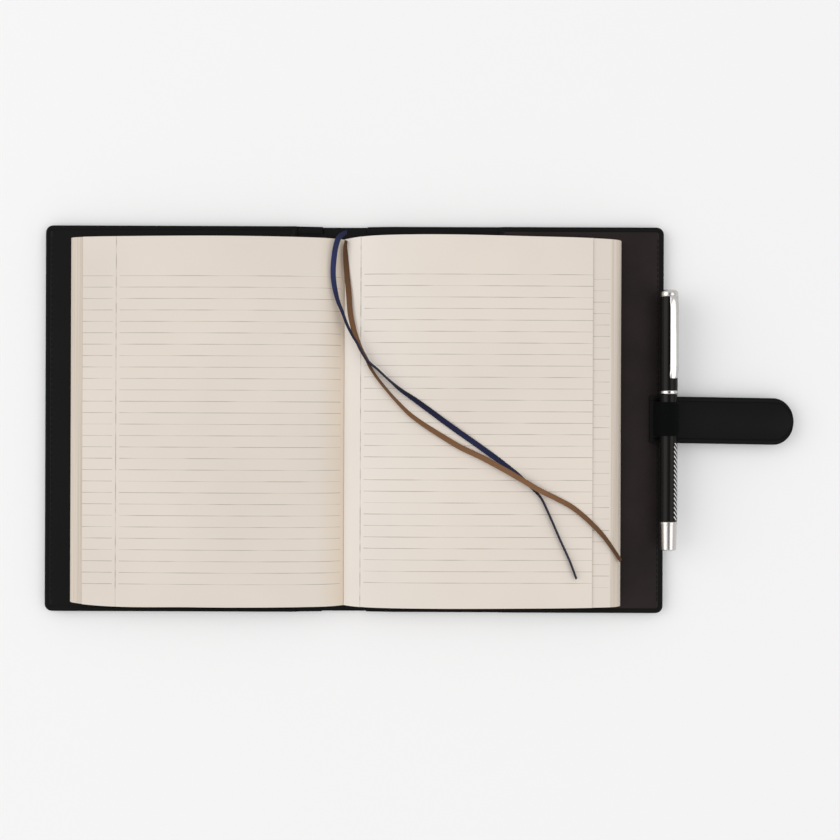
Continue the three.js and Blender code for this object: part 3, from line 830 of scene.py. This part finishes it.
def spine_skin():
    """The outer leather where it bends, in two halves that meet at the middle of the spine."""
    halves = [("back", 1, HINGE_BACK_X, "back_cover"), ("front", -1, HINGE_FRONT_X, "front_cover")]
    for word, away, hinge, body in halves:
        far = hinge + away * SKIN_OVERLAP
        count = 24
        rings = []
        for k in range(count + 1):
            x = GUTTER_X + (far - GUTTER_X) * k / count
            y0, y1 = COVER_Y[0] + 0.3, COVER_Y[1] - 0.3
            rings.append([(x, y0, 0.3), (x, y0 + 0.3, 0), (x, y1 - 0.3, 0), (x, y1, 0.3), (x, y1, 2.1),
                          (x, y1 - 0.3, 2.4), (x, y0 + 0.3, 2.4), (x, y0, 2.1)])
        obj = make(f"spine_leather_{word}", *loft(rings), [OUTER_LEATHER, LINING])
        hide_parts("spine_leather", "spine_lining")
        for polygon in obj.data.polygons:
            polygon.use_smooth = len(polygon.vertices) == 4
        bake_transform(obj)
    paint("book_spine_card", BOOK_COVER)


cover_half("back", *BACK_X, BACK_POCKET_X, BACK_PANEL_PAINTED_LIGHT)
cover_half("front", *FRONT_X, FRONT_POCKET_X, FRONT_PANEL_LEATHER)
spine_skin()

# ---------------------------------------------------------------- strap and pen loop

STRAP_WIDTH = 25.4
STRAP_START_X = span("strap_anchor", 0)[0]
STRAP_ROUND = 11
STRAP_CENTRE_Y = 0.3
STRAP_SLOPE = -0.0134


def strap_y(x):
    """The middle of the strap, which runs a little askew."""
    return STRAP_CENTRE_Y + STRAP_SLOPE * (x - STRAP_FOLD_X)


def strap_half_width(x, inset=0.0):
    """Half the strap's width, falling to nothing round its end."""
    straight = STRAP_END_X - STRAP_ROUND
    half = STRAP_WIDTH / 2 - inset
    if x <= straight:
        return half
    share = min(1, (x - straight) / max(STRAP_ROUND - inset, 0.1))
    return half * (1 - share**2) ** 0.5


def strap_piece(name, x0, x1, replaced, fold_x, start_soft, end_round):
    """A length of strap as a grid of cross-sections, with rounded edges and a crease line."""
    low, high = STRAP_Z
    stops = steps_between(x0, fold_x - 3, fold_x + 3, x1 if not end_round else x1 - STRAP_ROUND, fine=1.2)
    if end_round:
        stops += [x1 - STRAP_ROUND + STRAP_ROUND * sin(k / 14 * pi / 2) for k in range(1, 15)]
        stops[-1] = x1 - 0.02
    rings = []
    for x in stops:
        half, y = strap_half_width(x), strap_y(x)
        near_end = max(0.0, min(1.0, (x1 - x) / 0.8)) if end_round else 1.0
        if start_soft:
            near_end = min(near_end, (x - x0) / 0.6 * 0.5 + 0.5) if x - x0 < 0.6 else near_end
        rise = (high - low) * (0.5 + 0.5 * near_end)
        mid = (low + high) / 2
        top, bottom = mid + rise / 2, mid - rise / 2
        crease = max(half - 2.6, half * 0.3)
        dip = 0.28 if half > 4 else 0
        profile = [(-half, mid - 0.4), (-half + 0.15, bottom + 0.25), (-half + 0.6, bottom),
                   (half - 0.6, bottom), (half - 0.15, bottom + 0.25), (half, mid - 0.4),
                   (half, mid + 0.4), (half - 0.15, top - 0.25), (half - 0.6, top),
                   (crease + 0.4, top), (crease, top - dip), (crease - 0.4, top), (0, top),
                   (-crease + 0.4, top), (-crease, top - dip), (-crease - 0.4, top),
                   (-half + 0.6, top), (-half + 0.15, top - 0.25), (-half, mid + 0.4)]
        rings.append([(x, y + max(-half, min(half, dy)), z) for dy, z in profile])
    obj = make(name, *loft(rings), STRAP_LEATHER)
    sharpen(obj, 60)
    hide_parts(*replaced)
    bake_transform(obj)


RISER_MIDDLE_X = (STRAP_FOLD_X + TIP_FOLD_X) / 2
strap_piece("strap_root_leather", STRAP_START_X, RISER_MIDDLE_X, ["strap_anchor", "strap_riser"],
            STRAP_FOLD_X, True, False)
strap_piece("strap_tip_leather", RISER_MIDDLE_X, STRAP_END_X, ["strap_tip"],
            TIP_FOLD_X, False, True)


def pen_loop():
    """A woven band round the pen that slopes down to the strap on its inner side."""
    low_y, high_y = span("pen_loop", 1)
    floor_z = span("pen_loop", 2)[0]
    left_x = span("pen_loop", 0)[0]
    wall = 0.7
    inner_radius = PEN_RADIUS + 0.25
    outer_radius = inner_radius + wall

    def outline(radius, floor, foot_x):
        reach = hypot(foot_x - PEN_X, floor - PEN_Z)
        away = atan2(floor - PEN_Z, foot_x - PEN_X) + 2 * pi
        last = away - acos(radius / reach)
        right = [(PEN_X + radius, floor + (PEN_Z - floor) * k / 4) for k in range(4)]
        arc = [(PEN_X + radius * cos(last * k / 28), PEN_Z + radius * sin(last * k / 28)) for k in range(29)]
        end_x, end_z = arc[-1]
        slope = [(end_x + (foot_x - end_x) * k / 4, end_z + (floor - end_z) * k / 4) for k in range(1, 5)]
        base = [(foot_x + (PEN_X + radius - foot_x) * k / 6, floor) for k in range(1, 6)]
        return right + arc + slope + base

    outer = outline(outer_radius, floor_z, left_x)
    inner = outline(inner_radius, floor_z + wall, left_x + 1.3)
    run = [0.0]
    for (ax, az), (bx, bz) in zip(outer, outer[1:]):
        run.append(run[-1] + hypot(bx - ax, bz - az))
    rings, uvs = [], []
    for share, y in [(0.5, low_y), (0.06, low_y + 0.25), (0, low_y + 0.7), (0, (low_y + high_y) / 2),
                     (0, high_y - 0.7), (0.06, high_y - 0.25), (0.5, high_y), (0.94, high_y - 0.25),
                     (1, high_y - 0.7), (1, low_y + 0.7), (0.94, low_y + 0.25)]:
        ring = [(a + (c - a) * share, y, b + (d - b) * share) for (a, b), (c, d) in zip(outer, inner)]
        rings.append(ring)
        uvs += [(s, y) for s in run]
    obj = make("pen_loop_band", *ring_loft(rings), LOOP_WEAVE, uvs)
    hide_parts("pen_loop")
    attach(obj, "back_cover")


pen_loop()

# ---------------------------------------------------------------- pen


def turned(name, profile, material, node, body, segments=56):
    """A piece turned about the pen's axis. Its (radius, y) profile ends on the axis or joins up."""
    closed = profile[0] == profile[-1]
    points = profile[:-1] if closed else profile
    rings, uvs = [], []
    for radius, y in points:
        r = max(radius, 0.001)
        rings.append([(PEN_X + r * sin(2 * pi * k / segments), y, PEN_Z + r * cos(2 * pi * k / segments))
                      for k in range(segments)])
        uvs += [(2 * pi * r * k / segments, y) for k in range(segments)]
    obj = make(name, *(ring_loft(rings) if closed else loft(rings)), material, uvs)
    sharpen(obj)
    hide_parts(node)
    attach(obj, body)


def pen():
    """The pen's turned pieces, its hatched inlay and its clip. The cap's pieces ride on the cap."""
    barrel = span("pen_barrel", 1)
    ferrule = span("pen_ferrule", 1)
    grip = span("pen_grip", 1)
    nib = span("pen_writing_tip", 1)
    ring = span("cap_ring", 1)
    cap = span("cap_tube", 1)
    crown = span("cap_crown", 1)
    r = PEN_RADIUS
    barrel_profile = [(0, barrel[0]), (r - 0.15, barrel[0]), (r, barrel[0] + 0.15), (r, barrel[1] - 0.15),
                      (r - 0.15, barrel[1]), (0, barrel[1])]
    ferrule_profile = [(0, ferrule[0]), (3.4, ferrule[0]), (3.9, ferrule[0] + 0.15), (4.2, ferrule[0] + 0.6),
                       (4.5, ferrule[1] - 1.6), (4.75, ferrule[1] - 1.4), (4.75, ferrule[1] - 0.2),
                       (4.6, ferrule[1]), (0, ferrule[1])]
    grip_profile = [(0, grip[0]), (3.8, grip[0]), (3.8, grip[0] + 2), (3.6, grip[0] + 2.3),
                    (3.5, grip[1] - 6), (3.2, grip[1] - 2), (2.9, grip[1]), (0, grip[1])]
    nib_profile = [(0, nib[0]), (2.4, nib[0]), (2.3, nib[0] + 1), (0.9, nib[1] - 2.5), (0.5, nib[1] - 0.4),
                   (0.3, nib[1]), (0, nib[1])]
    ring_profile = [(4.15, ring[0]), (4.8, ring[0]), (5, ring[0] + 0.25), (5, ring[1] - 0.25), (4.8, ring[1]),
                    (4.15, ring[1]), (4.15, ring[0])]
    cap_profile = [(4.15, cap[0]), (4.7, cap[0]), (4.8, cap[0] + 0.15), (4.8, cap[1] - 0.15), (4.7, cap[1]),
                   (0, cap[1]), (0, cap[1] - 2), (4.1, cap[1] - 2)]
    crown_profile = [(0, crown[0]), (4.75, crown[0]), (4.85, crown[0] + 0.2), (4.85, crown[0] + 2.2),
                     (4.6, crown[0] + 2.9), (3.8, crown[1] - 0.25), (2, crown[1]), (0, crown[1])]
    turned("barrel_lacquer", barrel_profile, GUNMETAL, "pen_barrel", "pen")
    turned("ferrule_chrome", ferrule_profile, SATIN_CHROME, "pen_ferrule", "pen")
    turned("grip_moulding", grip_profile, GRIP_PLASTIC, "pen_grip", "pen")
    turned("tip_chrome", nib_profile, CHROME, "pen_writing_tip", "pen")
    turned("cap_ring_chrome", ring_profile, CHROME, "cap_ring", "pen_cap")
    turned("cap_lacquer", cap_profile, GUNMETAL, "cap_tube", "pen_cap")
    turned("crown_chrome", crown_profile, SATIN_CHROME, "cap_crown", "pen_cap")
    hatch_strip()
    clip()


def radial(turn, radius, y):
    """A point at an angle round the pen's axis, from straight up."""
    return (PEN_X + radius * sin(turn), y, PEN_Z + radius * cos(turn))


def hatch_strip():
    """A curved hatched strip let into the barrel's right side."""
    y0, y1 = span("pen_hatch_strip", 1)
    first, last = radians(27), radians(62)
    rings, uvs = [], []
    rows = 40
    for k in range(rows + 1):
        y = y0 + (y1 - y0) * k / rows
        ring = []
        for radius, order in ((PEN_RADIUS + 0.06, range(7)), (PEN_RADIUS - 0.3, reversed(range(7)))):
            for i in order:
                turn = first + (last - first) * i / 6
                ring.append(radial(turn, radius, y))
                uvs.append((turn * PEN_RADIUS, y))
        rings.append(ring)
    obj = make("hatched_inlay", *loft(rings), HATCH, uvs)
    sharpen(obj)
    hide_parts("pen_hatch_strip")
    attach(obj, "pen")


def clip():
    """A sprung clip: a bar with a crowned face, a foot at the crown end and a turned-in toe."""
    turn = radians(16)
    y0, y1 = span("pen_clip", 1)
    out = Vector((sin(turn), 0, cos(turn)))
    side = Vector((cos(turn), 0, -sin(turn)))
    axis = Vector((PEN_X, 0, PEN_Z))
    rings = []
    lengthwise = [(y0, 5.6, 6.3, 1.9), (y0 + 0.3, 5.3, 6.7, 2.2), (y0 + 1.2, 5.15, 6.9, 2.35),
                  (y0 + 3, 5.4, 6.95, 2.4), (y0 + 5, 6.1, 6.95, 2.4), (y0 + 12, 6.15, 6.95, 2.4),
                  (y0 + 24, 6.15, 6.95, 2.4), (y1 - 6, 6.1, 6.95, 2.4), (y1 - 3.6, 5.4, 6.95, 2.4),
                  (y1 - 1, 5.1, 6.9, 2.4), (y1 - 0.2, 5.1, 6.7, 2.35), (y1, 5.2, 6.4, 2.3)]
    section = [(-0.85, 0), (-1, 0.15), (-1, 0.5), (-0.88, 0.78), (-0.6, 0.93), (0, 1), (0.6, 0.93),
               (0.88, 0.78), (1, 0.5), (1, 0.15), (0.85, 0)]
    for y, low, high, half in lengthwise:
        ring = []
        for across, share in section:
            spot = axis + out * (low + (high - low) * share) + side * across * half
            ring.append((spot.x, y, spot.z))
        rings.append(ring)
    obj = make("clip_chrome", *loft(rings), CHROME)
    sharpen(obj, 25)
    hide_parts("pen_clip")
    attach(obj, "pen_clip")


pen()

# ---------------------------------------------------------------- floor


def floor():
    size = 3.0
    mesh = bpy.data.meshes.new("floor")
    corners = [(-size, -size, -0.0002), (size, -size, -0.0002), (size, size, -0.0002), (-size, size, -0.0002)]
    mesh.from_pydata(corners, [], [(0, 1, 2, 3)])
    mesh.materials.append(floor_paint())
    obj = bpy.data.objects.new("floor", mesh)
    bpy.context.scene.collection.objects.link(obj)


floor()
